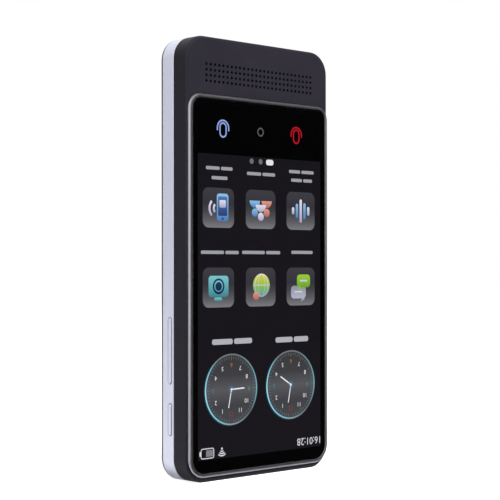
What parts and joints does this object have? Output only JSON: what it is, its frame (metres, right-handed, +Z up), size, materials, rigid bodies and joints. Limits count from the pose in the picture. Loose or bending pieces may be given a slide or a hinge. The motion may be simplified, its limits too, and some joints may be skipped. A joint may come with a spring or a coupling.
{
  "type": "handheld translator",
  "caption": "Slab-shaped handheld voice translator with a tall touch screen in a raised bezel, a speaker grille past its end, and power and volume keys on one side.",
  "frame": {"origin": "middle of the standing end face, on the plane that the device stands on", "axes": "+Z up along the device's length, towards the speaker and port end; +Y from the screen to the back; +X to the right when looking at the screen, so the side keys are on the -X side"},
  "size_m": [0.0691, 0.0154, 0.1515],
  "materials": {
    "black_shell": "fine matte, dark grey-black polycarbonate",
    "silver_shell": "satin silver paint over polycarbonate",
    "black_cover": "fine matte, dark grey-black polycarbonate",
    "silver_key": "satin silver paint over polycarbonate",
    "bezel_metal": "brushed grey anodised frame",
    "cover_glass": "polished black-printed cover glass",
    "display": "lit display panel",
    "frame_metal": "plain pressed sheet",
    "steel": "plain steel",
    "brass": "knurled brass",
    "board": "solder-masked glass-epoxy board",
    "chip": "moulded epoxy package",
    "flex": "polyimide film with copper",
    "battery_pouch": "laminated aluminium pouch",
    "tape": "black foam and tape",
    "mesh": "woven acoustic mesh",
    "clear": "clear moulded acrylic",
    "camera_black": "black camera parts"
  },
  "bodies": {
    "case": {"back_cover": "black_cover", "battery_cell": "battery_pouch", "battery_circuit": "board", "battery_lead": "flex", "battery_tape": "tape", "board_connectors": "chip", "board_screws": "steel", "board_standoffs": "brass", "camera_barrel": "camera_black", "camera_module": "camera_black", "camera_trim": "bezel_metal", "camera_window": "cover_glass", "case_screws": "steel", "cover_glass": "cover_glass", "display_backlight": "frame_metal", "display_flex": "flex", "display_panel": "display", "flash_led": "clear", "flash_lens": "clear", "front_housing": "black_shell", "front_shield": "steel", "glass_tape": "tape", "grille_mesh": "mesh", "key_fulcrum": "chip", "key_leds": "clear", "key_light_guide": "clear", "link_flex": "flex", "main_board": "board", "memory_chip": "chip", "microphone_boots": "tape", "microphones": "steel", "mid_plate": "frame_metal", "port_board": "board", "power_chip": "chip", "processor": "chip", "radio_chip": "chip", "rear_housing": "silver_shell", "rear_shield": "steel", "screen_bezel": "bezel_metal", "side_key_board": "board", "side_key_bracket": "steel", "side_switches": "chip", "speaker_box": "chip", "speaker_cone": "chip", "speaker_contacts": "brass", "speaker_gasket": "tape", "speaker_magnet": "steel", "thread_inserts": "brass", "touch_flex": "flex", "touch_key_board": "board", "usb_shell": "steel", "usb_tongue": "camera_black", "vibration_motor": "steel", "wifi_antenna": "flex"},
    "power_button": {"power_key": "silver_key", "power_plunger": "chip"},
    "volume_rocker": {"volume_key": "silver_key", "volume_plungers": "chip"}
  },
  "joints": [
    {"name": "power_press", "type": "slide", "parent": "case", "child": "power_button", "axis": [1, 0, 0], "range_m": [0, 0.0003], "stiffness_N_per_m": 5000},
    {"name": "volume_rock", "type": "hinge", "parent": "case", "child": "volume_rocker", "pos_m": [-0.03075, 0.00195, 0.0447], "axis": [0, 1, 0], "range_deg": [-1.2, 1.2], "stiffness_Nm_per_rad": 0.75}
  ]
}
